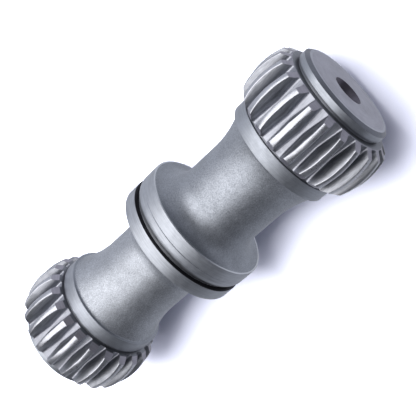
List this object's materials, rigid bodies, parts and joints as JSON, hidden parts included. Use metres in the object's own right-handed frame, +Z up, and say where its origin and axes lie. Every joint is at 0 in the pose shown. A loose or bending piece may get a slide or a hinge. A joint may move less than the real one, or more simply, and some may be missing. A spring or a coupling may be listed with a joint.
{
  "type": "splined shaft",
  "caption": "Double-ended splined drive shaft: crowned teeth on each end, waisted necks with collars, a grooved centre flange and a centre hole in each end face.",
  "frame": {"origin": "on the surface that the shaft lies on, under the middle of its length, which is the middle of the centre flange", "axes": "+X along the shaft towards its near end, +Z up, away from the surface that its teeth lie on"},
  "size_m": [0.172, 0.06, 0.06],
  "materials": {
    "steel": "satin blasted steel on the necks, turned rings and ground tooth tips brighter, dark tooth flanks"
  },
  "bodies": {
    "root": {"splined_shaft": "steel"}
  },
  "joints": []
}
